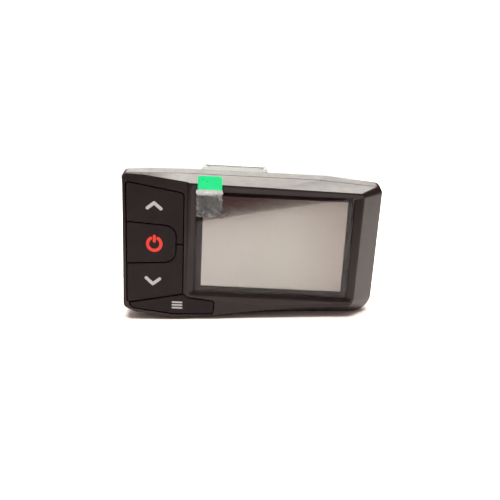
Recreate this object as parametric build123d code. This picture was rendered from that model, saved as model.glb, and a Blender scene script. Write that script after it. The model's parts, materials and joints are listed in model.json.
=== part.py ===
from build123d import *

import math
import os

# Radar detector for a windshield, with a colour display and four keys.
# Design axes: X to the right as the driver sees the display, Y away from the driver, Z up, with
# zero at the centre of the cover glass's face. The body stands on a slanted underside, so
# everything is turned by ROLL about Y and then moved until the underside lies on Z = 0.

ROLL = 3.07                      # slant of the underside against the display, degrees

# depths from front to back
RIDGE_Y = -1.0                   # ridge round the display
KEY_FACE_Y = -0.4                # key caps and the plain face round them
GLASS_THICK = 1.1
LEDGE_Y = 1.25                   # ledge that the glass is taped to
FRONT_CAVITY_Y = 2.3
SEAM_Y = 8.0                     # front and rear halves meet here
SHOULDER_Y = 12.5
ROOF_Y = 22.0
BACK_Y = 36.0
SEAM_GAP = 0.15
RIDGE_ROUND = 0.25
SEAM_ROUND = 0.25
BACK_ROUND = 1.6
WALL = 1.8

# cover glass and display
GLASS_W = 56.0
GLASS_H = 36.8
VIEW_W = 51.35                   # picture area
VIEW_H = 33.05
VIEW_X = 0.18                    # its centre against the glass
VIEW_Z = 0.33
PANEL_W = 52.8                   # display cell
PANEL_H = 34.4

# underside: one plane, level once ROLL is applied
BASE_X = -36.0                   # left end of the flat underside
BASE_Z = -29.4

# keys
KEY_GROOVE = 0.4
KEY_THICK = 2.4
KEY_TRAVEL = 0.5
KEY_ROUND = 0.22
CARRIER_Y = 2.9
CARRIER_THICK = 0.8
PEG_R = 0.9
PEG_FIT = 0.06
STEM_R = 1.6
SWITCH_FACE_Y = 4.7
LEGEND_DEEP = 0.5
LEGEND_PROUD = 0.03

# main board
BOARD_Y = 6.2
BOARD_THICK = 1.2
BOARD_BACK_Y = BOARD_Y + BOARD_THICK

# bracket on the roof
MOUNT_X = -15.0
RAIL_TOP_Z = 18.4
RAIL_FRONT_Y = 20.5
RAIL_BACK_Y = 33.0
HINGE_Y = 27.0
HINGE_Z = 21.7
PLATE_Z = 24.2
PLATE_FRONT_Y = 14.4
PLATE_BACK_Y = 38.0
PLATE_W = 25.0
PLATE_THICK = 1.5
PAD_W = 21.6
PAD_THICK = 0.8
LINER_THICK = 0.12
PIN_R = 0.75
PIN_FIT = 0.05


def base_z(x):
    """Height of the slanted underside at x."""
    return BASE_Z + (x - BASE_X) * math.tan(math.radians(ROLL))


# Outlines are corners (x, z, radius), clockwise from the top left, with matching corners at
# every depth so that the walls between them are ruled surfaces.
FACE_OUTLINE = [
    (-53.6, 23.5, 1.7), (-46.0, 23.25, 8.0), (-30.0, 21.15, 8.0), (0.0, 20.8, 20.0),
    (31.1, 20.45, 1.6), (30.5, -20.7, 3.0),
    (12.0, -22.15, 0), (-2.0, -23.8, 0), (-20.0, -26.75, 0),
    (-36.0, -28.15, 6.0), (-48.8, -26.75, 4.0), (-53.1, -25.0, 2.2),
]
SEAM_OUTLINE = [
    (-55.7, 23.0, 1.9), (-46.0, 23.35, 12.0), (-30.0, 23.7, 20.0), (16.0, 23.7, 20.0),
    (39.45, 22.2, 2.6), (38.85, base_z(38.85), 7.2),
    (12.0, base_z(12.0), 0), (-2.0, base_z(-2.0), 0), (-20.0, base_z(-20.0), 0),
    (BASE_X, BASE_Z, 6.0), (-49.5, -27.35, 4.0), (-54.8, -25.6, 3.2),
]
SHOULDER_OUTLINE = [
    (-56.05, 23.75, 2.4), (-46.0, 24.55, 12.0), (-30.0, 24.95, 20.0), (18.5, 24.95, 20.0),
    (39.7, 23.35, 3.0), (39.1, base_z(39.1), 7.2),
    (12.0, base_z(12.0), 0), (-2.0, base_z(-2.0), 0), (-20.0, base_z(-20.0), 0),
    (BASE_X, BASE_Z, 6.0), (-49.5, -27.35, 4.0), (-55.1, -25.6, 3.2),
]
ROOF_OUTLINE = [
    (-51.5, 15.6, 4.0), (-44.0, 16.9, 10.0), (-28.0, 17.2, 30.0), (14.0, 17.0, 30.0),
    (34.0, 15.2, 4.0), (33.6, base_z(33.6), 7.0),
    (12.0, base_z(12.0), 0), (-2.0, base_z(-2.0), 0), (-20.0, base_z(-20.0), 0),
    (BASE_X, BASE_Z, 6.0), (-47.0, -27.3, 4.0), (-50.9, -25.0, 3.0),
]
BACK_OUTLINE = [
    (-46.0, 11.8, 5.0), (-38.0, 13.6, 10.0), (-26.0, 14.1, 30.0), (12.0, 13.9, 30.0),
    (29.0, 12.0, 5.0), (28.6, base_z(28.6), 6.0),
    (12.0, base_z(12.0), 0), (-2.0, base_z(-2.0), 0), (-20.0, base_z(-20.0), 0),
    (BASE_X, BASE_Z, 6.0), (-42.0, -27.9, 3.0), (-45.6, -25.4, 3.0),
]

POWER_OUTLINE = [(-52.2, 6.35, 0.7), (-34.8, 5.35, 4.0), (-34.8, -7.35, 4.0), (-52.0, -8.45, 0.7)]
UP_OUTLINE = [(-52.5, 20.5, 0.9), (-32.4, 17.3, 1.2), (-32.15, -0.75, 0.3), (-52.0, -0.75, 0.3)]
DOWN_OUTLINE = [(-52.0, -1.15, 0.3), (-32.15, -1.15, 0.3), (-31.95, -19.2, 0.5), (-51.8, -23.15, 0.9)]
MENU_OUTLINE = [
    (-51.5, -23.65, 0.5), (-31.5, -19.6, 0.3), (-30.2, -20.85, 2.0), (-20.45, -21.65, 1.1),
    (-20.75, -26.35, 1.1), (-35.0, -26.95, 10.0), (-49.6, -25.2, 1.0),
]
KEY_STEMS = {                    # where each key presses its switch, and its two guide pegs
    "up": ((-42.6, 12.3), (-48.6, 11.5), (-36.0, 11.5)),
    "power": ((-42.4, -1.0), (-48.4, -1.0), (-37.6, -1.0)),
    "down": ((-42.6, -14.6), (-48.6, -14.0), (-36.0, -14.0)),
    "menu": ((-33.8, -23.5), (-44.8, -24.0), (-25.0, -23.9)),
}


def between(x, y, z):
    """Block between two limits on each axis."""
    size = [hi - lo for lo, hi in (x, y, z)]
    middle = [(hi + lo) / 2 for lo, hi in (x, y, z)]
    return Pos(*middle) * Box(*size)


def rod_y(x, z, radius, start, end):
    return Pos(x, (start + end) / 2, z) * Rot(90, 0, 0) * Cylinder(radius, end - start)


def rod_x(y, z, radius, start, end):
    return Pos((start + end) / 2, y, z) * Rot(0, 90, 0) * Cylinder(radius, end - start)


def inset(corners, amount):
    """The same outline with each straight side moved in, or out if amount is negative."""
    count = len(corners)
    sides = []
    for i in range(count):
        a = Vector(*corners[i][:2])
        b = Vector(*corners[(i + 1) % count][:2])
        along = (b - a).normalized()
        sides.append((a + Vector(along.Y, -along.X) * amount, along))
    moved = []
    for i in range(count):
        (p, u), (q, v) = sides[i - 1], sides[i]
        cross = u.X * v.Y - u.Y * v.X
        gap = q - p
        if abs(cross) < 1e-4:
            point = q
        else:
            point = p + u * ((gap.X * v.Y - gap.Y * v.X) / cross)
        radius = corners[i][2]
        if radius > 0:
            radius = max(radius - amount if cross < 0 else radius + amount, 0.3)
        moved.append((point.X, point.Y, radius))
    return moved


def outline(corners, y):
    """Closed wire across Y with rounded corners."""
    count = len(corners)
    ends = []
    for i in range(count):
        before = Vector(*corners[i - 1][:2])
        corner = Vector(*corners[i][:2])
        after = Vector(*corners[(i + 1) % count][:2])
        radius = corners[i][2]
        back = (before - corner).normalized()
        ahead = (after - corner).normalized()
        if radius == 0:
            ends.append((corner, corner, corner))
            continue
        half = math.radians(back.get_angle(ahead)) / 2
        reach = radius / math.tan(half)
        toward = (back + ahead).normalized()
        middle = corner + toward * (radius / math.sin(half) - radius)
        ends.append((corner + back * reach, middle, corner + ahead * reach))
    edges = []
    for i in range(count):
        start, middle, end = [Vector(p.X, y, p.Y) for p in ends[i]]
        if corners[i][2] > 0:
            edges.append(ThreePointArc(start, middle, end))
        following = ends[(i + 1) % count][0]
        edges.append(Line(end, Vector(following.X, y, following.Y)))
    return Wire(edges)


def prism(corners, start, end):
    return extrude(Face(outline(corners, start)), amount=end - start, dir=Vector(0, 1, 0))


def shell_solid(stations):
    """Ruled solid through (corners, y) stations."""
    return Part() + Solid.make_loft([outline(corners, y) for corners, y in stations], ruled=True)


def rectangle(width, height, radius, x=0.0, z=0.0):
    left, right = x - width / 2, x + width / 2
    low, high = z - height / 2, z + height / 2
    return [(left, high, radius), (right, high, radius), (right, low, radius), (left, low, radius)]


# ---------------------------------------------------------------- housings

HOUSING_SCREWS = [(-49.6, 18.6), (33.6, 17.0), (-48.8, -21.2), (32.4, -18.6)]
BOARD_SCREWS = [(-30.0, 13.0), (-30.0, -12.5), (30.4, 11.0), (30.4, -11.0)]
SCREW_R = 1.0
BOSS_R = 2.0
LIP_INSET = 2.3
LIP_THICK = 1.0


def key_outlines():
    return {"up": UP_OUTLINE, "power": POWER_OUTLINE, "down": DOWN_OUTLINE, "menu": MENU_OUTLINE}


def front_skin():
    """Outer form of the front half: sloped walls, a raised bezel and the lower key plane."""
    slab = shell_solid([(FACE_OUTLINE, RIDGE_Y), (SEAM_OUTLINE, SEAM_Y)])
    crease = [
        (-31.1, 30.0, 0), (60.0, 30.0, 0), (60.0, -17.0, 0), (28.0, -20.3, 0),
        (-4.0, -22.35, 0), (-24.0, -20.95, 0), (-31.1, -20.65, 2.6),
    ]
    ridge = [
        (-30.5, 30.0, 0), (60.0, 30.0, 0), (60.0, -17.0, 0), (28.0, -19.95, 0),
        (-4.0, -20.1, 0), (-24.0, -20.1, 0), (-30.5, -20.05, 2.2),
    ]
    bezel = shell_solid([(ridge, RIDGE_Y), (crease, KEY_FACE_Y)])
    lower = between((-60, 60), (KEY_FACE_Y, SEAM_Y), (-40, 40))
    body = (slab & lower) + (slab & bezel)
    body = fillet(edges_at(body, RIDGE_Y), RIDGE_ROUND)
    return fillet(edges_at(body, SEAM_Y), SEAM_ROUND)


def edges_at(body, y):
    """Edges that lie in the plane across Y at that depth."""
    chosen = []
    for edge in body.edges():
        box = edge.bounding_box()
        if abs(box.min.Y - y) + abs(box.max.Y - y) < 0.02:
            chosen.append(edge)
    return chosen


def glass_recess():
    """Sloped inner bezel, the pocket for the glass, and the window for the display cell."""
    rim = [(-29.75, 20.45, 1.4), (30.45, 19.75, 1.0), (29.85, -19.5, 1.8), (-29.75, -19.5, 1.6)]
    pocket = rectangle(GLASS_W + 0.1, GLASS_H + 0.1, 0.6)
    slope = shell_solid([(rim, RIDGE_Y), (pocket, 0.0)])
    above = shell_solid([(inset(rim, -0.1), RIDGE_Y - 1.0), (rim, RIDGE_Y)])
    window = rectangle(53.2, 34.8, 0.8, VIEW_X, VIEW_Z)
    return slope + above + prism(pocket, -0.01, LEDGE_Y) + prism(window, LEDGE_Y - 0.01, 4.0)


def front_housing():
    body = front_skin()
    cavity_seam = inset(SEAM_OUTLINE, LIP_INSET + 0.3)
    body -= shell_solid([(inset(FACE_OUTLINE, 1.2), FRONT_CAVITY_Y), (cavity_seam, SEAM_Y + 0.5)])
    body -= prism(inset(SEAM_OUTLINE, LIP_INSET - 0.1), SEAM_Y - 1.1, SEAM_Y + 1.0)
    body -= glass_recess()
    for corners in key_outlines().values():
        body -= prism(inset(corners, -KEY_GROOVE), RIDGE_Y - 1.0, CARRIER_Y - 0.05)
    within = shell_solid([(FACE_OUTLINE, RIDGE_Y), (SEAM_OUTLINE, SEAM_Y)])
    for x, z in HOUSING_SCREWS:
        reach = math.copysign(6.0, x)
        rise = math.copysign(6.0, z)
        boss = rod_y(x, z, BOSS_R, CARRIER_Y + 0.2, SEAM_Y - 0.05)
        web_x = between(sorted((x, x + reach)), (CARRIER_Y + 0.2, SEAM_Y - 1.2), (z - 0.6, z + 0.6))
        web_z = between((x - 0.6, x + 0.6), (CARRIER_Y + 0.2, SEAM_Y - 1.2), sorted((z, z + rise)))
        body += (boss + web_x + web_z) & within
    for x, z in BOARD_SCREWS:
        body += rod_y(x, z, 1.5, FRONT_CAVITY_Y - 0.2, BOARD_Y)
    for x, z in HOUSING_SCREWS:
        body -= rod_y(x, z, SCREW_R - 0.12, 4.2, SEAM_Y + 1)
    for x, z in BOARD_SCREWS:
        body -= rod_y(x, z, 0.68, 3.2, BOARD_Y + 1)
    return body


def rear_housing():
    start = SEAM_Y + SEAM_GAP
    skin = shell_solid([
        (inset(SEAM_OUTLINE, 0.05), start), (SHOULDER_OUTLINE, SHOULDER_Y),
        (ROOF_OUTLINE, ROOF_Y), (BACK_OUTLINE, BACK_Y),
    ])
    skin = fillet(edges_at(skin, start), SEAM_ROUND)
    skin = fillet(edges_at(skin, BACK_Y), BACK_ROUND)
    rail = between((MOUNT_X - 9, MOUNT_X + 9), (RAIL_FRONT_Y, RAIL_BACK_Y), (10.0, RAIL_TOP_Z))
    rail = fillet(rail.edges().filter_by(Axis.Z), 1.2)
    body = skin + rail
    body -= shell_solid([
        (inset(SEAM_OUTLINE, LIP_INSET), start - 1),
        (inset(SHOULDER_OUTLINE, LIP_INSET), SHOULDER_Y - 0.9),
        (inset(ROOF_OUTLINE, WALL + 0.3), ROOF_Y - 0.9),
        (inset(BACK_OUTLINE, WALL), BACK_Y - WALL),
    ])
    lip = inset(SEAM_OUTLINE, LIP_INSET)
    ring = prism(lip, SEAM_Y - 1.0, SHOULDER_Y - 2.0)
    ring -= prism(inset(SEAM_OUTLINE, LIP_INSET + LIP_THICK), SEAM_Y - 2, SHOULDER_Y)
    for x, z in HOUSING_SCREWS:
        ring -= rod_y(x, z, BOSS_R + 0.25, SEAM_Y - 2, SEAM_Y + SEAM_GAP)
    body += ring
    body -= tee_slot()
    body += screw_towers(skin)
    for x, z in HOUSING_SCREWS:
        body -= rod_y(x, z, SCREW_R + 0.15, SEAM_Y - 2, BACK_Y)
        body -= rod_y(x, z, 2.1, 12.0, BACK_Y)
    body -= radar_opening() + laser_opening() + speaker_slots() + side_openings()
    body += gps_shelf()
    return body


def screw_towers(skin):
    towers = Part()
    for x, z in HOUSING_SCREWS:
        towers += rod_y(x, z, 3.2, SEAM_Y + SEAM_GAP, 20.0)
    return towers & skin


def tee_slot():
    """Open at the back; the bracket's foot slides in and stops at its front end."""
    foot = between((MOUNT_X - 5, MOUNT_X + 5), (22.0, BACK_Y + 1), (15.7, 17.2))
    neck = between((MOUNT_X - 3, MOUNT_X + 3), (22.0, BACK_Y + 1), (15.7, RAIL_TOP_Z + 1))
    return foot + neck


RADAR_X, RADAR_Z = 11.0, -3.5
RADAR_W, RADAR_H = 27.0, 21.0
LASER_X, LASER_Z = -11.0, -3.5
LASER_R = 5.0
SPEAKER_X, SPEAKER_Z = -31.5, -9.5
SPEAKER_R = 9.5
INNER_BACK_Y = BACK_Y - WALL


def radar_opening():
    seat = prism(rectangle(RADAR_W, RADAR_H, 2.0, RADAR_X, RADAR_Z), BACK_Y - 1.0, BACK_Y + 1)
    hole = prism(rectangle(RADAR_W - 2, RADAR_H - 2, 1.4, RADAR_X, RADAR_Z), BACK_Y - 3, BACK_Y)
    return seat + hole


def laser_opening():
    seat = rod_y(LASER_X, LASER_Z, LASER_R + 0.05, BACK_Y - 1.0, BACK_Y + 1)
    return seat + rod_y(LASER_X, LASER_Z, LASER_R - 0.8, BACK_Y - 3, BACK_Y)


def speaker_slots():
    slots = Part()
    for step in range(-3, 4):
        half = math.sqrt(SPEAKER_R ** 2 - (2.0 * step) ** 2) - 1.6
        row = rectangle(2 * half, 1.0, 0.49, SPEAKER_X, SPEAKER_Z + 2.0 * step)
        slots += prism(row, BACK_Y - 3, BACK_Y + 1)
    return slots


JACK_Y, JACK_Z = 13.4, -5.0
JACK_BORE_R = 1.85
USB_Z = 7.0


def side_openings():
    jack = rod_x(JACK_Y, JACK_Z, 3.3, -60, -50)
    usb = between((-60, -50), (8.75, 11.25), (USB_Z - 3.8, USB_Z + 3.8))
    return jack + usb


def gps_shelf():
    shelf = between((-44.0, -27.0), (21.0, INNER_BACK_Y + 0.5), (6.6, 7.8))
    for x in (-43.5, -28.5):
        shelf += between((x, x + 1.0), (27.0, INNER_BACK_Y + 0.5), (1.9, 6.8))
    return shelf


# ---------------------------------------------------------------- display

def display_lens():
    glass = prism(rectangle(GLASS_W, GLASS_H, 0.55), 0.0, GLASS_THICK)
    return chamfer(glass.faces().sort_by(Axis.Y)[0].edges(), 0.12)


def lens_tape():
    outer = prism(rectangle(GLASS_W - 0.2, GLASS_H - 0.2, 0.5), GLASS_THICK, LEDGE_Y)
    return outer - prism(rectangle(VIEW_W, VIEW_H, 0.2, VIEW_X, VIEW_Z), 0.0, 2.0)


def lcd_panel():
    return prism(rectangle(PANEL_W, PANEL_H, 0.3, VIEW_X, VIEW_Z), LEDGE_Y + 0.05, 2.75)


def lcd_backlight():
    return prism(rectangle(52.4, 34.0, 0.5, VIEW_X, VIEW_Z), 2.8, 4.4)


def lcd_frame():
    tray = prism(rectangle(54.2, 35.8, 0.8, VIEW_X, VIEW_Z), FRONT_CAVITY_Y + 0.05, 4.9)
    tray -= prism(rectangle(53.4, 35.0, 0.4, VIEW_X, VIEW_Z), 0.0, 4.45)
    for x in (-16.0, 16.0):
        for z in (-9.0, 9.0):
            tray -= prism(rectangle(14.0, 8.0, 2.0, x, z), 4.0, 6.0)
    return tray - between((-7.4, 7.4), (2.0, 2.9), (-19.0, -16.9))


def lcd_flex():
    """Flat cable from the foot of the display round to the board's lower edge."""
    down = between((-7.0, 7.0), (2.5, 2.65), (-19.6, VIEW_Z - PANEL_H / 2))
    back = between((-7.0, 7.0), (2.5, 8.0), (-19.75, -19.6))
    up = between((-7.0, 7.0), (7.85, 8.0), (-19.6, -14.0))
    return down + back + up


def screen_film():
    return prism(rectangle(54.6, 35.4, 0.8), -0.12, 0.0)


def film_pull_tab():
    """Folded tab that stands off the glass, with its clear tape lying on the film."""
    tab = between((-27.5, -19.0), (-1.75, -1.55), (18.1, 24.1))
    tape = between((-27.9, -18.8), (-0.42, -0.22), (9.3, 17.6))
    ramp = between((-27.5, -19.0), (-1.75, -0.22), (17.3, 18.2))
    return tab + tape + ramp


# ---------------------------------------------------------------- keys

def key_blank(name):
    corners = key_outlines()[name]
    back = KEY_FACE_Y + KEY_THICK
    cap = prism(corners, KEY_FACE_Y, back)
    if name in ("up", "down"):
        cap -= prism(inset(POWER_OUTLINE, -KEY_GROOVE), -2.0, 4.0)
    rim = cap.faces().sort_by(Axis.Y)[0].edges()
    return fillet(rim, KEY_ROUND)


def key_cap(name):
    """Hollowed cap with the stem that presses the switch and two guide pegs with heads."""
    back = KEY_FACE_Y + KEY_THICK
    cap = key_blank(name)
    stem, *pegs = KEY_STEMS[name]
    cap += rod_y(*stem, STEM_R, back - 0.5, SWITCH_FACE_Y - 0.5)
    for x, z in pegs:
        cap += rod_y(x, z, PEG_R, back - 0.5, 4.2)
        cap += rod_y(x, z, PEG_R + 0.3, 3.8, 4.2)
    return cap - legend(name, 0.0)


def stroke(a, b, width, start, end):
    """Round-ended bar between two points of a key's face."""
    ax, az = a
    bx, bz = b
    length = math.hypot(bx - ax, bz - az)
    turn = math.degrees(math.atan2(bz - az, bx - ax))
    bar = between((-length / 2, length / 2), (start, end), (-width / 2, width / 2))
    bar = Pos((ax + bx) / 2, 0, (az + bz) / 2) * Rot(0, -turn, 0) * bar
    return bar + rod_y(ax, az, width / 2, start, end) + rod_y(bx, bz, width / 2, start, end)


def legend(name, proud):
    """Inlaid mark: chevrons, the power sign, and three bars for the menu."""
    start = KEY_FACE_Y - proud
    end = KEY_FACE_Y + LEGEND_DEEP
    if proud == 0.0:
        start -= 0.5
    if name == "up":
        peak = (-42.6, 13.6)
        left = stroke((-44.95, 11.7), peak, 1.15, start, end)
        return left + stroke(peak, (-40.2, 11.6), 1.15, start, end)
    if name == "down":
        foot = (-42.65, -15.9)
        left = stroke((-45.05, -13.8), foot, 1.15, start, end)
        return left + stroke(foot, (-40.25, -14.0), 1.15, start, end)
    if name == "power":
        return power_mark(start, end)
    bars = Part()
    for z in (-22.55, -23.6, -24.65):
        bars += stroke((-35.4, z), (-32.1, z), 0.62, start, end)
    return bars


def power_mark(start, end):
    x, z = -42.35, -1.1
    ring = rod_y(x, z, 2.95, start, end) - rod_y(x, z, 1.8, start - 1, end + 1)
    wedge = [(x, z, 0), (x - 2.6, z + 4.5, 0), (x + 2.6, z + 4.5, 0)]
    ring -= prism(wedge, start - 1, end + 1)
    for side in (-1, 1):
        angle = math.radians(90 - side * 33)
        ring += rod_y(x + 2.375 * math.cos(angle), z + 2.375 * math.sin(angle), 0.575, start, end)
    return ring + stroke((x, z + 0.95), (x, z + 2.75), 1.1, start, end)


def plunger(name):
    x, z = KEY_STEMS[name][0]
    return rod_y(x, z, 1.0, SWITCH_FACE_Y - 0.5, SWITCH_FACE_Y + 0.7)


def tact_switches():
    group = Part()
    for (x, z), *_ in KEY_STEMS.values():
        case = between((x - 2.3, x + 2.3), (SWITCH_FACE_Y, BOARD_Y), (z - 2.2, z + 2.2))
        case -= rod_y(x, z, 1.0 + PEG_FIT, SWITCH_FACE_Y - 1, BOARD_Y - 0.2)
        group += case
    return group


def corner_notches(start, end):
    """Room for the screw bosses and their webs in the corners."""
    notches = Part()
    for x, z in HOUSING_SCREWS:
        side = math.copysign(1.0, x)
        rise = math.copysign(1.0, z)
        notches += rod_y(x, z, BOSS_R + 0.5, start, end)
        tall = sorted((z - rise * 1.5, z + rise * 9))
        notches += between(sorted((x, x + side * 9)), (start, end), tall)
        notches += between(sorted((x - side * 1.5, x)), (start, end), sorted((z, z + rise * 9)))
    return notches


def key_carrier():
    back = CARRIER_Y + CARRIER_THICK
    plate = between((-50.2, -32.3), (CARRIER_Y, back), (-25.2, 16.2))
    plate += between((-33.0, -22.0), (CARRIER_Y, back), (-25.6, -21.4))
    for z in (4.0, -7.0):
        plate += between((-33.0, -29.9), (CARRIER_Y, back), (z, z + 3.0))
        plate += between((-31.6, -29.9), (FRONT_CAVITY_Y, CARRIER_Y + 0.1), (z, z + 3.0))
    for x, z in ((-49.0, 5.0), (-49.0, -8.0), (-33.6, 5.5), (-33.6, -6.0)):
        plate += rod_y(x, z, 1.1, back - 0.1, BOARD_Y)
    for stem, *pegs in KEY_STEMS.values():
        plate -= rod_y(*stem, STEM_R + 0.2, CARRIER_Y - 1, back + 0.05)
        for x, z in pegs:
            plate -= rod_y(x, z, PEG_R + PEG_FIT, CARRIER_Y - 1, back + 0.05)
    return plate - corner_notches(CARRIER_Y - 1, BOARD_Y)


# ---------------------------------------------------------------- electronics

def main_board():
    corners = [
        (-51.0, 17.0, 1.0), (32.9, 17.0, 1.0), (32.9, -17.0, 3.0),
        (-21.5, -17.9, 1.0), (-21.5, -23.5, 1.0), (-48.5, -23.5, 2.0),
    ]
    board = prism(corners, BOARD_Y, BOARD_BACK_Y)
    board -= corner_notches(BOARD_Y - 1, BOARD_BACK_Y + 1)
    for x, z in BOARD_SCREWS:
        board -= rod_y(x, z, 1.0, BOARD_Y - 1, BOARD_BACK_Y + 1)
    return board


def board_chips():
    chips = between((-26.0, -16.0), (BOARD_BACK_Y, BOARD_BACK_Y + 1.4), (-2.0, 8.0))
    chips += between((-12.0, -5.0), (BOARD_BACK_Y, BOARD_BACK_Y + 1.2), (4.0, 12.0))
    chips += between((-40.0, -34.0), (BOARD_BACK_Y, BOARD_BACK_Y + 1.0), (-18.0, -13.0))
    chips += between((26.0, 31.0), (BOARD_BACK_Y, BOARD_BACK_Y + 1.8), (-8.0, -3.0))
    chips += between((-8.0, 8.0), (8.0, 9.3), (-16.2, -13.2))
    chips += between((-8.0, 8.0), (BOARD_BACK_Y, 9.3), (-13.2, -12.2))
    return chips


def rf_shield():
    can = between((6.0, 24.0), (BOARD_BACK_Y, 10.2), (6.5, 15.5))
    return can - between((6.3, 23.7), (BOARD_BACK_Y - 1, 9.9), (6.8, 15.2))


HORN_BACK_Y = 33.9


def horn_antenna():
    """Cast horn: a throat block at the front, flaring to its mouth at the window."""
    outer = shell_solid([
        (rectangle(12.0, 9.0, 0.8, RADAR_X, RADAR_Z), 17.0),
        (rectangle(24.6, 18.6, 1.2, RADAR_X, RADAR_Z), HORN_BACK_Y),
    ])
    outer += between((RADAR_X - 8, RADAR_X + 8), (10.4, 18.0), (RADAR_Z - 6, RADAR_Z + 6))
    outer += prism(rectangle(26.6, 20.6, 1.2, RADAR_X, RADAR_Z), HORN_BACK_Y - 1.2, HORN_BACK_Y)
    inner = shell_solid([
        (rectangle(8.0, 5.0, 0.5, RADAR_X, RADAR_Z), 14.0),
        (rectangle(22.6, 16.6, 0.8, RADAR_X, RADAR_Z), HORN_BACK_Y + 0.01),
    ])
    return outer - inner


def rf_board():
    top = RADAR_Z + 6
    card = between((RADAR_X - 9, RADAR_X + 11), (10.6, 26.0), (top + 5.0, top + 5.8))
    for x in (RADAR_X - 5, RADAR_X + 5):
        card += between((x - 1, x + 1), (11.5, 16.5), (top, top + 5.1))
    return card


def radar_window():
    face = rectangle(RADAR_W - 0.1, RADAR_H - 0.1, 1.95, RADAR_X, RADAR_Z)
    plate = prism(face, BACK_Y - 1.0, BACK_Y + 0.1)
    return chamfer(plate.faces().sort_by(Axis.Y)[-1].edges(), 0.15)


def laser_lens():
    lens = rod_y(LASER_X, LASER_Z, LASER_R, BACK_Y - 1.0, BACK_Y)
    cap_r = 16.0
    dome = Pos(LASER_X, BACK_Y + 0.7 - cap_r, LASER_Z) * Sphere(cap_r)
    return lens + (dome & rod_y(LASER_X, LASER_Z, LASER_R - 0.6, BACK_Y - 0.5, BACK_Y + 1))


def laser_sensor():
    holder = rod_y(LASER_X, LASER_Z, 4.6, 22.0, INNER_BACK_Y)
    holder -= rod_y(LASER_X, LASER_Z, 3.9, 24.0, BACK_Y)
    holder += rod_y(LASER_X, LASER_Z, 2.4, 23.5, 25.5)
    return holder


def gps_antenna():
    patch = between((-42.0, -28.0), (21.6, 33.6), (7.8, 10.8))
    return chamfer(patch.edges().filter_by(Axis.Z), 0.8)


def speaker_frame():
    frame = rod_y(SPEAKER_X, SPEAKER_Z, SPEAKER_R, 29.6, INNER_BACK_Y)
    frame -= rod_y(SPEAKER_X, SPEAKER_Z, SPEAKER_R - 1.2, 31.0, BACK_Y)
    return frame - rod_y(SPEAKER_X, SPEAKER_Z, 6.0, 28.0, 32.0)


def speaker_cone():
    """Thin cone that opens towards the slots."""
    cone = Cone(7.9, 3.0, 1.8) - Pos(0, 0, -0.3) * Cone(7.9, 3.0, 1.8)
    return Pos(SPEAKER_X, 32.9, SPEAKER_Z) * Rot(90, 0, 0) * cone


def speaker_magnet():
    return rod_y(SPEAKER_X, SPEAKER_Z, 5.9, 25.6, 31.2)


def supercap():
    can = rod_x(BOARD_BACK_Y + 4.0, -11.0, 3.9, -27.0, -14.0)
    leads = between((-25.5, -24.9), (BOARD_BACK_Y, 9.0), (-11.3, -10.7))
    leads += between((-16.1, -15.5), (BOARD_BACK_Y, 9.0), (-11.3, -10.7))
    return can + leads


def power_jack():
    case = between((-50.6, -42.0), (BOARD_BACK_Y, JACK_Y + 3.2), (JACK_Z - 3.3, JACK_Z + 3.3))
    case += rod_x(JACK_Y, JACK_Z, 3.2, -55.4, -50.0)
    case -= rod_x(JACK_Y, JACK_Z, JACK_BORE_R, -56.0, -44.0)
    return case + rod_x(JACK_Y, JACK_Z, 0.65, -54.2, -43.0)


def usb_port():
    case = between((-54.8, -47.0), (8.85, 11.15), (USB_Z - 3.7, USB_Z + 3.7))
    case += between((-50.6, -47.0), (BOARD_BACK_Y, 9.0), (USB_Z - 3.7, USB_Z + 3.7))
    case -= between((-55.0, -49.0), (9.1, 10.9), (USB_Z - 3.4, USB_Z + 3.4))
    return case + between((-53.6, -48.5), (9.75, 10.15), (USB_Z - 2.6, USB_Z + 2.6))


# ---------------------------------------------------------------- fasteners

def screw(x, z, thread_r, head_r, head_h, tip, seat):
    """Pan-head screw with a cross recess, driven towards the display."""
    body = rod_y(x, z, thread_r, tip, seat + 0.1)
    head = rod_y(x, z, head_r, seat, seat + head_h)
    head = fillet(head.faces().sort_by(Axis.Y)[-1].edges(), head_h * 0.45)
    for turn in (0, 90):
        deep = (seat + head_h * 0.45, seat + head_h + 1)
        arm = between((-head_r * 0.6, head_r * 0.6), deep, (-0.2, 0.2))
        head -= Pos(x, 0, z) * Rot(0, turn, 0) * arm
    return body + head


def housing_screws():
    group = Part()
    for x, z in HOUSING_SCREWS:
        group += screw(x, z, SCREW_R - 0.12, 1.9, 1.3, 4.4, 12.0)
    return group


def board_screws():
    group = Part()
    for x, z in BOARD_SCREWS:
        group += screw(x, z, 0.68, 1.4, 0.9, 3.4, BOARD_BACK_Y)
    return group


# ---------------------------------------------------------------- bracket

def mount_shoe():
    """Foot in the roof's tee slot, with two lugs for the hinge pin."""
    foot = between((MOUNT_X - 4.85, MOUNT_X + 4.85), (22.1, RAIL_BACK_Y - 0.2), (15.85, 17.05))
    deck_z = RAIL_TOP_Z + 0.2
    neck = between((MOUNT_X - 2.85, MOUNT_X + 2.85), (22.1, RAIL_BACK_Y - 0.2), (16.5, deck_z))
    deck = between((MOUNT_X - 5.6, MOUNT_X + 5.6), (22.6, 32.2), (deck_z, deck_z + 0.8))
    shoe = foot + neck + deck
    for side in (-1, 1):
        x = sorted((MOUNT_X + side * 3.3, MOUNT_X + side * 5.5))
        shoe += between(x, (HINGE_Y - 2.0, HINGE_Y + 2.0), (RAIL_TOP_Z + 0.5, HINGE_Z))
        shoe += rod_x(HINGE_Y, HINGE_Z, 2.0, *x)
    return shoe - rod_x(HINGE_Y, HINGE_Z, PIN_R, MOUNT_X - 6, MOUNT_X + 6)


def mount_pin():
    return rod_x(HINGE_Y, HINGE_Z, PIN_R, MOUNT_X - 5.4, MOUNT_X + 5.4)


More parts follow.
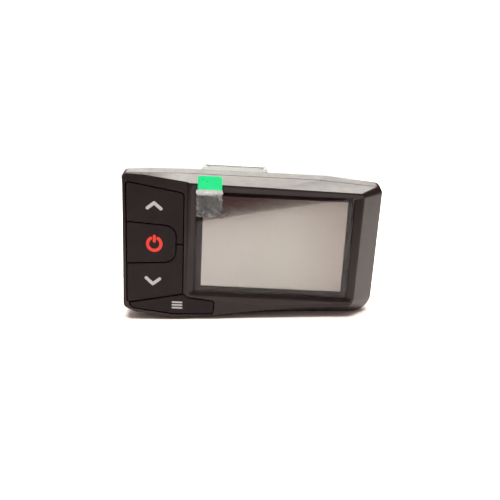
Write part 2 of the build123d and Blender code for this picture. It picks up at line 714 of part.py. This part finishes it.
def mount_plate():
    """Plate for the windshield, with one knuckle between the shoe's lugs."""
    top = PLATE_Z + PLATE_THICK
    half = PLATE_W / 2
    plate = between((MOUNT_X - half, MOUNT_X + half), (PLATE_FRONT_Y, PLATE_BACK_Y), (PLATE_Z, top))
    plate = fillet(plate.edges().filter_by(Axis.Z), 3.0)
    plate = chamfer(plate.faces().sort_by(Axis.Z)[-1].edges(), 0.9)
    into = PLATE_Z + 0.3
    web = between((MOUNT_X - 3.1, MOUNT_X + 3.1), (HINGE_Y - 2.0, HINGE_Y + 2.0), (HINGE_Z, into))
    knuckle = rod_x(HINGE_Y, HINGE_Z, 2.0, MOUNT_X - 3.1, MOUNT_X + 3.1)
    for side in (-1, 1):
        edge = MOUNT_X + side * 3.1
        rib_x = sorted((edge, edge - side * 1.0))
        web += between(rib_x, (HINGE_Y - 8, HINGE_Y + 3.5), (PLATE_Z - 1.0, into))
    return plate + web + knuckle - rod_x(HINGE_Y, HINGE_Z, PIN_R + PIN_FIT, MOUNT_X - 6, MOUNT_X + 6)


def pad_outline(width, low, high):
    margin = (PLATE_W - width) / 2 + 0.1
    deep = (PLATE_FRONT_Y + margin, PLATE_BACK_Y - margin)
    pad = between((MOUNT_X - width / 2, MOUNT_X + width / 2), deep, (low, high))
    return fillet(pad.edges().filter_by(Axis.Z), 2.2)


def adhesive_pad():
    low = PLATE_Z + PLATE_THICK
    return pad_outline(PAD_W, low, low + PAD_THICK)


def pad_liner():
    low = PLATE_Z + PLATE_THICK + PAD_THICK
    return pad_outline(PAD_W + 0.4, low, low + LINER_THICK)


# ---------------------------------------------------------------- assembly

def build_nodes():
    nodes = {
        "front_housing": front_housing(),
        "rear_housing": rear_housing(),
        "display_lens": display_lens(),
        "lens_tape": lens_tape(),
        "lcd_panel": lcd_panel(),
        "lcd_backlight": lcd_backlight(),
        "lcd_frame": lcd_frame(),
        "lcd_flex": lcd_flex(),
        "screen_film": screen_film(),
        "film_pull_tab": film_pull_tab(),
        "key_carrier": key_carrier(),
        "tact_switches": tact_switches(),
        "main_board": main_board(),
        "board_chips": board_chips(),
        "board_screws": board_screws(),
        "rf_shield": rf_shield(),
        "rf_board": rf_board(),
        "horn_antenna": horn_antenna(),
        "radar_window": radar_window(),
        "laser_lens": laser_lens(),
        "laser_sensor": laser_sensor(),
        "gps_antenna": gps_antenna(),
        "speaker_frame": speaker_frame(),
        "speaker_cone": speaker_cone(),
        "speaker_magnet": speaker_magnet(),
        "supercap": supercap(),
        "power_jack": power_jack(),
        "usb_port": usb_port(),
        "housing_screws": housing_screws(),
        "mount_shoe": mount_shoe(),
        "mount_pin": mount_pin(),
        "mount_plate": mount_plate(),
        "adhesive_pad": adhesive_pad(),
        "pad_liner": pad_liner(),
    }
    for name in KEY_STEMS:
        nodes[f"{name}_key"] = key_cap(name)
        nodes[f"{name}_legend"] = legend(name, LEGEND_PROUD)
        nodes[f"{name}_plunger"] = plunger(name)
    return nodes


def place(nodes):
    """Turn by ROLL about Y, then put the middle of the whole box's base at the origin."""
    turned = {name: Rot(0, ROLL, 0) * shape for name, shape in nodes.items()}
    box = Compound(children=[Compound(shape.solids()) for shape in turned.values()]).bounding_box()
    shift = Pos(-box.center().X, -box.center().Y, -box.min.Z)
    return {name: shift * shape for name, shape in turned.items()}, shift


def main():
    os.makedirs("parts", exist_ok=True)
    placed, shift = place(build_nodes())
    print("shift", shift.position)
    for name, shape in placed.items():
        export_step(shape, f"parts/{name}.step")


main()
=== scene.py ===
import json
import math

import bmesh
import bpy
from mathutils import Matrix, Vector


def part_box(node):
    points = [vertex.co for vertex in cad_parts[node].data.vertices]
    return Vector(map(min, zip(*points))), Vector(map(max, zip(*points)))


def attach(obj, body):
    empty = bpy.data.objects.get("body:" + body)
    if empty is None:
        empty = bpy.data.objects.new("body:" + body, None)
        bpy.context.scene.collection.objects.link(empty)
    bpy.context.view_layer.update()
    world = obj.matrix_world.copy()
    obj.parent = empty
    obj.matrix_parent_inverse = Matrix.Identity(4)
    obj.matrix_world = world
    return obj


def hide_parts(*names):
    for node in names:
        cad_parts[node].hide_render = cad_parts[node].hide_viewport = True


# Looks of the radar detector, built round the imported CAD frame. Lengths are in metres unless a
# name ends in _mm. The display is rolled by ROLL_DEG about Y against the level underside, so
# display coordinates (x right, y away from the driver, z up, in mm from the glass's centre) are
# turned into row coordinates by at().

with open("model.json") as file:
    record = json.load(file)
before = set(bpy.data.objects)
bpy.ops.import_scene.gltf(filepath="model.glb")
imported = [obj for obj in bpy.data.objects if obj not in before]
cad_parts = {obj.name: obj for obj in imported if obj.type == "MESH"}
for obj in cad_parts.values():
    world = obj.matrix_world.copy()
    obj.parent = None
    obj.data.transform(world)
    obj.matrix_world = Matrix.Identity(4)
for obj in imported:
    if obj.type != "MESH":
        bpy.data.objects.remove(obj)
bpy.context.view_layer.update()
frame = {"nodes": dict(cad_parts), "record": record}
scene = bpy.context.scene

ROLL_DEG = 3.07


# ---------------------------------------------------------------- frame of the display

def display_frame():
    """Matrix from display coordinates in mm to the row frame in metres."""
    low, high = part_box("display_lens")
    middle = (low + high) / 2
    roll = Matrix.Rotation(math.radians(ROLL_DEG), 4, "Y")
    origin = Vector((middle.x, low.y, middle.z))
    return Matrix.Translation(origin) @ roll @ Matrix.Scale(0.001, 4)


DISPLAY = display_frame()


def at(x, y, z):
    return DISPLAY @ Vector((x, y, z))


# ---------------------------------------------------------------- material helpers

def new_material(name):
    material = bpy.data.materials.new(name)
    material.use_nodes = True
    tree = material.node_tree
    tree.nodes.clear()
    out = tree.nodes.new("ShaderNodeOutputMaterial")
    shader = tree.nodes.new("ShaderNodeBsdfPrincipled")
    tree.links.new(shader.outputs[0], out.inputs["Surface"])
    return material, tree, shader


def node(tree, kind, **settings):
    made = tree.nodes.new(kind)
    for key, value in settings.items():
        if key in made.inputs:
            made.inputs[key].default_value = value
        else:
            setattr(made, key, value)
    return made


def position(tree):
    """Object coordinates in millimetres."""
    coords = node(tree, "ShaderNodeTexCoord")
    scale = node(tree, "ShaderNodeVectorMath", operation="SCALE")
    scale.inputs["Scale"].default_value = 1000.0
    tree.links.new(coords.outputs["Object"], scale.inputs[0])
    return scale.outputs[0]


def noise(tree, place, scale, detail=3.0, roughness=0.55):
    made = node(tree, "ShaderNodeTexNoise", Scale=scale, Detail=detail, Roughness=roughness)
    tree.links.new(place, made.inputs["Vector"])
    return made.outputs["Fac"]


def ramp(tree, source, stops):
    """Colour ramp through (position, colour) stops."""
    made = tree.nodes.new("ShaderNodeValToRGB")
    elements = made.color_ramp.elements
    while len(elements) < len(stops):
        elements.new(0.5)
    for element, (place, colour) in zip(elements, stops):
        element.position = place
        element.color = (*colour, 1.0)
    tree.links.new(source, made.inputs[0])
    return made.outputs["Color"]


def spread(tree, source, low, high):
    """Maps the middle of a noise, 0.3 to 0.7, to low..high."""
    made = tree.nodes.new("ShaderNodeMapRange")
    made.inputs["From Min"].default_value = 0.3
    made.inputs["From Max"].default_value = 0.7
    made.inputs["To Min"].default_value = low
    made.inputs["To Max"].default_value = high
    tree.links.new(source, made.inputs["Value"])
    return made.outputs["Result"]


def bump(tree, shader, height, strength, distance_mm):
    made = node(tree, "ShaderNodeBump", Strength=strength, Distance=distance_mm / 1000)
    tree.links.new(height, made.inputs["Height"])
    tree.links.new(made.outputs[0], shader.inputs["Normal"])


def add(tree, a, b, b_share):
    made = node(tree, "ShaderNodeMath", operation="MULTIPLY_ADD")
    tree.links.new(b, made.inputs[0])
    made.inputs[1].default_value = b_share
    tree.links.new(a, made.inputs[2])
    return made.outputs[0]


# ---------------------------------------------------------------- materials

def plastic(name, dark, light, rough, grain_mm=0.18, grain=0.25, specular=0.5, depth_mm=0.02):
    """Moulded plastic: a fine spark-eroded grain, faint clouds in colour, and uneven sheen."""
    material, tree, shader = new_material(name)
    place = position(tree)
    clouds = noise(tree, place, 0.12, 4.0)
    colour = ramp(tree, clouds, [(0.3, dark), (0.7, light)])
    tree.links.new(colour, shader.inputs["Base Color"])
    smear = noise(tree, place, 0.35, 5.0, 0.65)
    tree.links.new(spread(tree, smear, rough - 0.04, rough + 0.05), shader.inputs["Roughness"])
    fine = noise(tree, place, 1.0 / grain_mm, 2.0)
    bump(tree, shader, add(tree, fine, noise(tree, place, 2.2 / grain_mm, 1.0), 0.5), grain, depth_mm)
    shader.inputs["Specular IOR Level"].default_value = specular
    return material


def metal(name, dark, light, rough, streak=(1.0, 1.0, 1.0)):
    """Metal with fine directional scratches and a slightly patchy sheen."""
    material, tree, shader = new_material(name)
    place = position(tree)
    stretch = node(tree, "ShaderNodeMapping", Scale=streak)
    tree.links.new(place, stretch.inputs["Vector"])
    lines = noise(tree, stretch.outputs[0], 3.0, 4.0, 0.7)
    tree.links.new(ramp(tree, lines, [(0.25, dark), (0.75, light)]), shader.inputs["Base Color"])
    tree.links.new(spread(tree, lines, rough - 0.08, rough + 0.1), shader.inputs["Roughness"])
    shader.inputs["Metallic"].default_value = 1.0
    bump(tree, shader, lines, 0.2, 0.01)
    return material


def clear_glass(name, rough, ior):
    """Thin clear sheet: looks straight through, with a reflection that grows at a slant."""
    material, tree, shader = new_material(name)
    out = [n for n in tree.nodes if n.type == "OUTPUT_MATERIAL"][0]
    place = position(tree)
    haze = noise(tree, place, 0.2, 4.0)
    tree.links.new(spread(tree, haze, rough * 0.7, rough * 1.3), shader.inputs["Roughness"])
    shader.inputs["Base Color"].default_value = (1.0, 1.0, 1.0, 1.0)
    shader.inputs["Metallic"].default_value = 1.0
    gap = node(tree, "ShaderNodeBsdfTransparent", Color=(1.0, 1.0, 1.0, 1.0))
    slant = node(tree, "ShaderNodeFresnel", IOR=ior)
    mix = node(tree, "ShaderNodeMixShader")
    tree.links.new(slant.outputs[0], mix.inputs[0])
    tree.links.new(gap.outputs[0], mix.inputs[1])
    tree.links.new(shader.outputs[0], mix.inputs[2])
    tree.links.new(mix.outputs[0], out.inputs["Surface"])
    return material


def display_material():
    """Switched-off cell: grey-beige with painted shade that makes it a little warmer and darker to the
    right, fine pixel rows.
    """
    material, tree, shader = new_material("display_cell_grey")
    place = position(tree)
    split = node(tree, "ShaderNodeSeparateXYZ")
    tree.links.new(place, split.inputs[0])
    across = node(tree, "ShaderNodeMapRange")
    low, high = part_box("lcd_panel")
    across.inputs["From Min"].default_value = low.x * 1000
    across.inputs["From Max"].default_value = high.x * 1000
    tree.links.new(split.outputs["X"], across.inputs["Value"])
    # Painted shade: the cell's base colour darkens and warms toward its right edge.
    colour = ramp(tree, across.outputs["Result"], [
        (0.0, (0.262, 0.266, 0.262)), (0.62, (0.257, 0.262, 0.25)), (1.0, (0.184, 0.168, 0.160))])
    tree.links.new(colour, shader.inputs["Base Color"])
    rows = node(tree, "ShaderNodeTexWave", Scale=1.6, Distortion=0.0)
    rows.bands_direction = "X"
    tree.links.new(place, rows.inputs["Vector"])
    tree.links.new(spread(tree, rows.outputs["Fac"], 0.10, 0.12), shader.inputs["Roughness"])
    bump(tree, shader, rows.outputs["Fac"], 0.02, 0.01)
    shader.inputs["Metallic"].default_value = 1.0
    return material


MATERIALS = {}


def make_materials():
    m = MATERIALS
    m["housing"] = plastic("housing_black", (0.008, 0.0055, 0.006), (0.012, 0.009, 0.009), 0.34,
                           specular=0.36)
    m["key_plastic"] = plastic("key_black", (0.0105, 0.0068, 0.0085), (0.0135, 0.0092, 0.0112), 0.6,
                               grain_mm=0.12, specular=0.2)
    m["legend_white"] = plastic("legend_grey", (0.335, 0.37, 0.39), (0.375, 0.41, 0.43), 0.45,
                                depth_mm=0.005)
    m["legend_red"] = plastic("legend_red", (0.56, 0.022, 0.012), (0.62, 0.03, 0.016), 0.4,
                              depth_mm=0.005)
    m["cover_glass"] = clear_glass("cover_glass_clear", 0.02, 1.30)
    m["black_tape"] = plastic("black_border", (0.006, 0.0055, 0.006), (0.008, 0.007, 0.0075), 0.3,
                              grain=0.05,
                              specular=0.15, depth_mm=0.002)
    m["display_cell"] = display_material()
    m["diffuser"] = plastic("diffuser_white", (0.72, 0.72, 0.72), (0.78, 0.78, 0.78), 0.4)
    m["steel_sheet"] = metal("sheet_steel", (0.45, 0.45, 0.46), (0.62, 0.62, 0.63), 0.35, (1.0, 1.0, 14.0))
    m["flex_film"] = plastic("flex_amber", (0.32, 0.13, 0.02), (0.42, 0.19, 0.03), 0.3)
    m["clear_film"] = clear_glass("film_clear", 0.05, 1.2)
    m["carrier_plastic"] = plastic("carrier_black", (0.03, 0.03, 0.03), (0.04, 0.04, 0.04), 0.5)
    m["switch_plastic"] = plastic("switch_black", (0.018, 0.018, 0.02), (0.024, 0.024, 0.026), 0.4)
    m["circuit_board"] = plastic("board_green", (0.008, 0.06, 0.022), (0.014, 0.10, 0.035), 0.32)
    m["chip_epoxy"] = plastic("chip_black", (0.02, 0.02, 0.02), (0.028, 0.028, 0.028), 0.5)
    m["zinc_cast"] = metal("cast_zinc", (0.36, 0.36, 0.37), (0.5, 0.5, 0.51), 0.5)
    m["window_plastic"] = plastic("window_black", (0.006, 0.006, 0.007), (0.009, 0.009, 0.01), 0.14,
                                  grain=0.05, depth_mm=0.004)
    m["laser_red"] = plastic("laser_dark_red", (0.05, 0.002, 0.004), (0.08, 0.004, 0.006), 0.08,
                             grain=0.03, depth_mm=0.003)
    m["ceramic"] = plastic("patch_ceramic", (0.42, 0.34, 0.24), (0.5, 0.41, 0.3), 0.55)
    m["speaker_paper"] = plastic("cone_black", (0.018, 0.018, 0.018), (0.03, 0.03, 0.03), 0.7,
                                 grain_mm=0.3)
    m["magnet_steel"] = metal("plated_cup", (0.42, 0.42, 0.42), (0.55, 0.55, 0.55), 0.3, (6.0, 1.0, 6.0))
    m["cap_sleeve"] = plastic("cap_blue", (0.012, 0.018, 0.06), (0.018, 0.026, 0.085), 0.3)
    m["socket_plastic"] = plastic("socket_black", (0.012, 0.012, 0.012), (0.018, 0.018, 0.018), 0.3)
    m["screw_steel"] = metal("screw_dark", (0.10, 0.10, 0.11), (0.2, 0.2, 0.21), 0.35)
    m["pin_steel"] = metal("pin_bright", (0.5, 0.5, 0.51), (0.64, 0.64, 0.65), 0.25, (12.0, 1.0, 1.0))
    m["bracket_plastic"] = plastic("bracket_pale", (0.37, 0.445, 0.445), (0.40, 0.48, 0.48), 0.42)
    m["shoe_plastic"] = plastic("shoe_black", (0.02, 0.02, 0.02), (0.028, 0.028, 0.028), 0.4)
    m["pad_foam"] = plastic("foam_pale", (0.76, 0.84, 0.84), (0.83, 0.91, 0.91), 0.8,
                            grain_mm=0.25, grain=0.6)
    m["liner_paper"] = plastic("liner_white", (0.72, 0.78, 0.78), (0.78, 0.84, 0.84), 0.5, grain_mm=0.2)


def dress_nodes():
    """Gives every CAD node the finish of its slot in the record."""
    for part in frame["record"]["subparts"]:
        material = MATERIALS.get(part["material_slot"])
        shown = frame["nodes"].get(part["node"])
        if material is None or shown is None:
            continue
        shown.data.materials.clear()
        shown.data.materials.append(material)


# ---------------------------------------------------------------- film and pull tab

def sheet_mesh(name, columns, rows, place, thick_mm):
    """Closed thin sheet: place(u, v) gives display coordinates of its front face."""
    mesh = bmesh.new()
    layers = []
    for depth in (0.0, thick_mm):
        layer = []
        for i in range(columns + 1):
            line = []
            for j in range(rows + 1):
                x, y, z = place(i / columns, j / rows)
                line.append(mesh.verts.new(at(x, y + depth, z)))
            layer.append(line)
        layers.append(layer)
    front, back = layers
    for i in range(columns):
        for j in range(rows):
            mesh.faces.new((front[i][j], front[i + 1][j], front[i + 1][j + 1], front[i][j + 1]))
            mesh.faces.new((back[i][j + 1], back[i + 1][j + 1], back[i + 1][j], back[i][j]))
    rim = [(i, 0) for i in range(columns)] + [(columns, j) for j in range(rows)]
    rim += [(i, rows) for i in range(columns, 0, -1)] + [(0, j) for j in range(rows, 0, -1)]
    for k, (i, j) in enumerate(rim):
        a, b = rim[(k + 1) % len(rim)]
        mesh.faces.new((front[i][j], back[i][j], back[a][b], front[a][b]))
    bmesh.ops.recalc_face_normals(mesh, faces=mesh.faces)
    data = bpy.data.meshes.new(name)
    mesh.to_mesh(data)
    mesh.free()
    made = bpy.data.objects.new(name, data)
    scene.collection.objects.link(made)
    for face in data.polygons:
        face.use_smooth = True
    return made


def rounded_half_width(v, half, length, radius):
    """Half width of a strip at v along it, with its far end's corners rounded."""
    left = (1.0 - v) * length
    if left >= radius:
        return half
    return half - radius + math.sqrt(max(radius ** 2 - (radius - left) ** 2, 0.0))


# Display coordinates in mm; the glass's front face is at y = 0.
TAB_X, TAB_HALF = -23.25, 4.25
TAB_LOW, TAB_TOP = 18.2, 24.0
TAB_FOOT = 0.95                         # the green starts this far above TAB_LOW
TAB_CORNER = 1.1
TAB_STAND_OFF, TAB_CURL, TAB_WAVE = 1.35, 0.25, 0.12
TAB_THICK = 0.12
TAPE_X, TAPE_HALF = -23.35, 4.55
TAPE_LOW, TAPE_TOP = 9.4, TAB_LOW + 1.0
TAPE_OFF_GLASS = 0.2
TAPE_LIFT_FROM, TAPE_LIFT = 16.8, 1.1   # above this height the tape rises to meet the tab
TAPE_CRINKLE = 0.12
TAPE_THICK = 0.06
FOLD_LOW, FOLD_TOP = 16.9, 18.0         # the doubled, milky end of the tape under the green tab


def pull_tab():
    """Green end of the tab: stands off the bezel and curls a little forward at its top."""
    length = TAB_TOP - TAB_LOW

    def place(u, v):
        half = rounded_half_width(v, TAB_HALF, length, TAB_CORNER)
        x = TAB_X + (2 * u - 1) * half
        z = TAB_LOW + TAB_FOOT + v * (length - TAB_FOOT)
        y = -TAB_STAND_OFF - TAB_CURL * v + TAB_WAVE * math.sin(3.0 * u + 0.6)
        return x, y, z

    made = sheet_mesh("pull_tab_green", 24, 24, place, TAB_THICK)
    material, tree, shader = new_material("tab_green")
    spot = position(tree)
    colour = ramp(tree, noise(tree, spot, 0.2, 3.0), [(0.3, (0.0, 0.66, 0.22)), (0.7, (0.0, 0.74, 0.26))])
    tree.links.new(colour, shader.inputs["Base Color"])
    tree.links.new(spread(tree, noise(tree, spot, 0.5), 0.25, 0.38), shader.inputs["Roughness"])
    bump(tree, shader, noise(tree, spot, 0.6, 2.0), 0.05, 0.05)
    made.data.materials.append(material)
    return made


def tape_material():
    """Clear tape with a milky haze in its creases and where it is doubled under the tab."""
    material, tree, shader = new_material("tape_clear")
    out = [n for n in tree.nodes if n.type == "OUTPUT_MATERIAL"][0]
    spot = position(tree)
    shader.inputs["Base Color"].default_value = (0.70, 0.79, 0.82, 1.0)
    tree.links.new(spread(tree, noise(tree, spot, 0.6), 0.18, 0.32), shader.inputs["Roughness"])
    bump(tree, shader, noise(tree, spot, 0.9, 3.0), 0.2, 0.2)
    gap = node(tree, "ShaderNodeBsdfTransparent", Color=(1.0, 1.0, 1.0, 1.0))
    creases = ramp(tree, noise(tree, spot, 0.42, 4.0, 0.6), [
        (0.0, (0.02, 0.02, 0.02)), (0.52, (0.06, 0.06, 0.06)), (0.68, (0.26, 0.26, 0.26))])
    split = node(tree, "ShaderNodeSeparateXYZ")
    tree.links.new(spot, split.inputs[0])
    folded = node(tree, "ShaderNodeMapRange")
    folded.inputs["From Min"].default_value = at(TAPE_X, 0.0, FOLD_LOW).z * 1000
    folded.inputs["From Max"].default_value = at(TAPE_X, 0.0, FOLD_TOP).z * 1000
    folded.inputs["To Max"].default_value = 0.55
    tree.links.new(split.outputs["Z"], folded.inputs["Value"])
    haze = add(tree, creases, folded.outputs["Result"], 1.0)
    mix = node(tree, "ShaderNodeMixShader")
    tree.links.new(haze, mix.inputs[0])
    tree.links.new(gap.outputs[0], mix.inputs[1])
    tree.links.new(shader.outputs[0], mix.inputs[2])
    tree.links.new(mix.outputs[0], out.inputs["Surface"])
    return material


def tape():
    """Clear crinkled tape that holds the tab to the film; its edges curl off the glass."""
    length = TAPE_TOP - TAPE_LOW

    def place(u, v):
        side = 2 * u - 1
        ragged = 0.16 * math.sin(2.3 * v * length) + 0.09 * math.sin(5.1 * v * length + 1.0)
        x = TAPE_X + side * (TAPE_HALF + ragged * abs(side) ** 6)
        z = TAPE_LOW + v * length
        lift = max(0.0, (z - TAPE_LIFT_FROM) / (TAPE_TOP - TAPE_LIFT_FROM))
        y = -TAPE_OFF_GLASS - TAPE_LIFT * lift ** 1.4
        crinkle = math.sin(1.9 * z + 1.7 * math.sin(0.9 * x)) * math.sin(1.1 * x + 0.7 * z)
        edge = max(0.0, abs(side) - 0.8) / 0.2
        curl = edge ** 1.6 * (0.35 + 0.35 * math.sin(1.45 * z + 1.2 * side))
        y -= TAPE_CRINKLE * max(0.0, crinkle) * min(1.0, (z - TAPE_LOW) / 2.0)
        y -= max(0.0, curl) * min(1.0, 3.0 * v)
        return x, y, z

    made = sheet_mesh("pull_tab_tape", 72, 84, place, TAPE_THICK)
    made.data.materials.append(tape_material())
    return made


def add_film():
    green = pull_tab()
    clear = tape()
    body = "housing_body"
    for piece in (green, clear):
        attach(piece, body)
    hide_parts("film_pull_tab")


# ---------------------------------------------------------------- stage, light and camera

FLOOR_R = 0.5
# Two points on the table's front edge. Its slant sets where the dark room past the table shows as
# a wedge in the display.
TABLE_EDGE = ((-0.0195, -0.2327), (0.0905, -0.3296))
CAMERA_EYE = (-13.67, -195.53, 43.60)   # display coordinates in mm
CAMERA_AHEAD = (0.0274, 0.9737, -0.2261)
CAMERA_RIGHT = (0.9985, -0.0159, 0.0522)
CAMERA_LENS_MM, SENSOR_MM = 40.32, 36.0


def floor():
    """White table, cut off in front along a slanted edge beyond the camera's view."""
    (x0, y0), (x1, y1) = TABLE_EDGE
    across = Vector((y1 - y0, x0 - x1, 0.0)).normalized()
    mesh = bmesh.new()
    bmesh.ops.create_circle(mesh, cap_ends=True, segments=96, radius=FLOOR_R)
    everything = mesh.verts[:] + mesh.edges[:] + mesh.faces[:]
    bmesh.ops.bisect_plane(mesh, geom=everything, plane_co=(x0, y0, 0.0), plane_no=across,
                           clear_outer=True)
    data = bpy.data.meshes.new("floor")
    mesh.to_mesh(data)
    mesh.free()
    made = bpy.data.objects.new("floor", data)
    scene.collection.objects.link(made)
    material, tree, shader = new_material("floor_white")
    place = position(tree)
    colour = ramp(tree, noise(tree, place, 0.004), [(0.3, (0.86, 0.86, 0.86)), (0.7, (0.88, 0.88, 0.88))])
    tree.links.new(colour, shader.inputs["Base Color"])
    shader.inputs["Roughness"].default_value = 0.9
    shader.inputs["Specular IOR Level"].default_value = 0.1
    made.data.materials.append(material)


def area_light(name, centre, size, toward, radiance, colour):
    """Soft box; radiance is the brightness of its face."""
    data = bpy.data.lights.new(name, "AREA")
    data.shape = "RECTANGLE"
    data.size, data.size_y = size
    data.energy = radiance * math.pi * size[0] * size[1]
    data.color = colour
    made = bpy.data.objects.new(name, data)
    scene.collection.objects.link(made)
    made.location = centre
    made.rotation_euler = (Vector(centre) - Vector(toward)).to_track_quat("Z", "Y").to_euler()


def sun(name, toward, angle_deg, strength, colour):
    """Distant light shining along toward; reflections don't show it."""
    data = bpy.data.lights.new(name, "SUN")
    data.angle = math.radians(angle_deg)
    data.energy = strength
    data.color = colour
    made = bpy.data.objects.new(name, data)
    scene.collection.objects.link(made)
    made.rotation_euler = (-Vector(toward)).to_track_quat("Z", "Y").to_euler()
    made.visible_glossy = False


def world_light():
    """White backdrop for the camera, and a dark warm room for everything else."""
    world = bpy.data.worlds.new("studio")
    scene.world = world
    world.use_nodes = True
    tree = world.node_tree
    tree.nodes.clear()
    out = tree.nodes.new("ShaderNodeOutputWorld")
    seen = node(tree, "ShaderNodeBackground", Color=(1.0, 1.0, 1.0, 1.0), Strength=1.1)
    room = node(tree, "ShaderNodeBackground", Color=(0.15, 0.060, 0.055, 1.0), Strength=1.0)
    path = node(tree, "ShaderNodeLightPath")
    mix = node(tree, "ShaderNodeMixShader")
    tree.links.new(path.outputs["Is Camera Ray"], mix.inputs[0])
    tree.links.new(room.outputs[0], mix.inputs[1])
    tree.links.new(seen.outputs[0], mix.inputs[2])
    tree.links.new(mix.outputs[0], out.inputs["Surface"])


def camera():
    """Level camera, close to the object, a little left of the display and looking down at it."""
    eye = at(*CAMERA_EYE)
    ahead = (DISPLAY.to_3x3() @ Vector(CAMERA_AHEAD)).normalized()
    right = (DISPLAY.to_3x3() @ Vector(CAMERA_RIGHT)).normalized()
    up = right.cross(ahead)
    data = bpy.data.cameras.new("camera")
    data.lens = CAMERA_LENS_MM
    data.sensor_width = SENSOR_MM
    data.clip_start = 0.005
    data.clip_end = 20.0
    made = bpy.data.objects.new("camera", data)
    scene.collection.objects.link(made)
    made.matrix_world = Matrix.Translation(eye) @ Matrix((right, up, -ahead)).transposed().to_4x4()
    scene.camera = made


def lights():
    centre = (0.0, 0.0, 0.03)
    area_light("overhead", (0.0, 0.34, 0.42), size=(0.50, 0.42), toward=centre, radiance=5.6,
               colour=(1.0, 0.975, 0.90))
    sun("key", (0.0, 0.36, -0.93), angle_deg=24.0, strength=3.9, colour=(1.0, 0.88, 0.80))
    sun("dome", (0.0, 0.1, -1.0), angle_deg=150.0, strength=1.6, colour=(1.0, 0.9, 0.84))
    world_light()


def main():
    scene.view_settings.view_transform = "Standard"
    make_materials()
    dress_nodes()
    add_film()
    floor()
    lights()
    camera()


main()
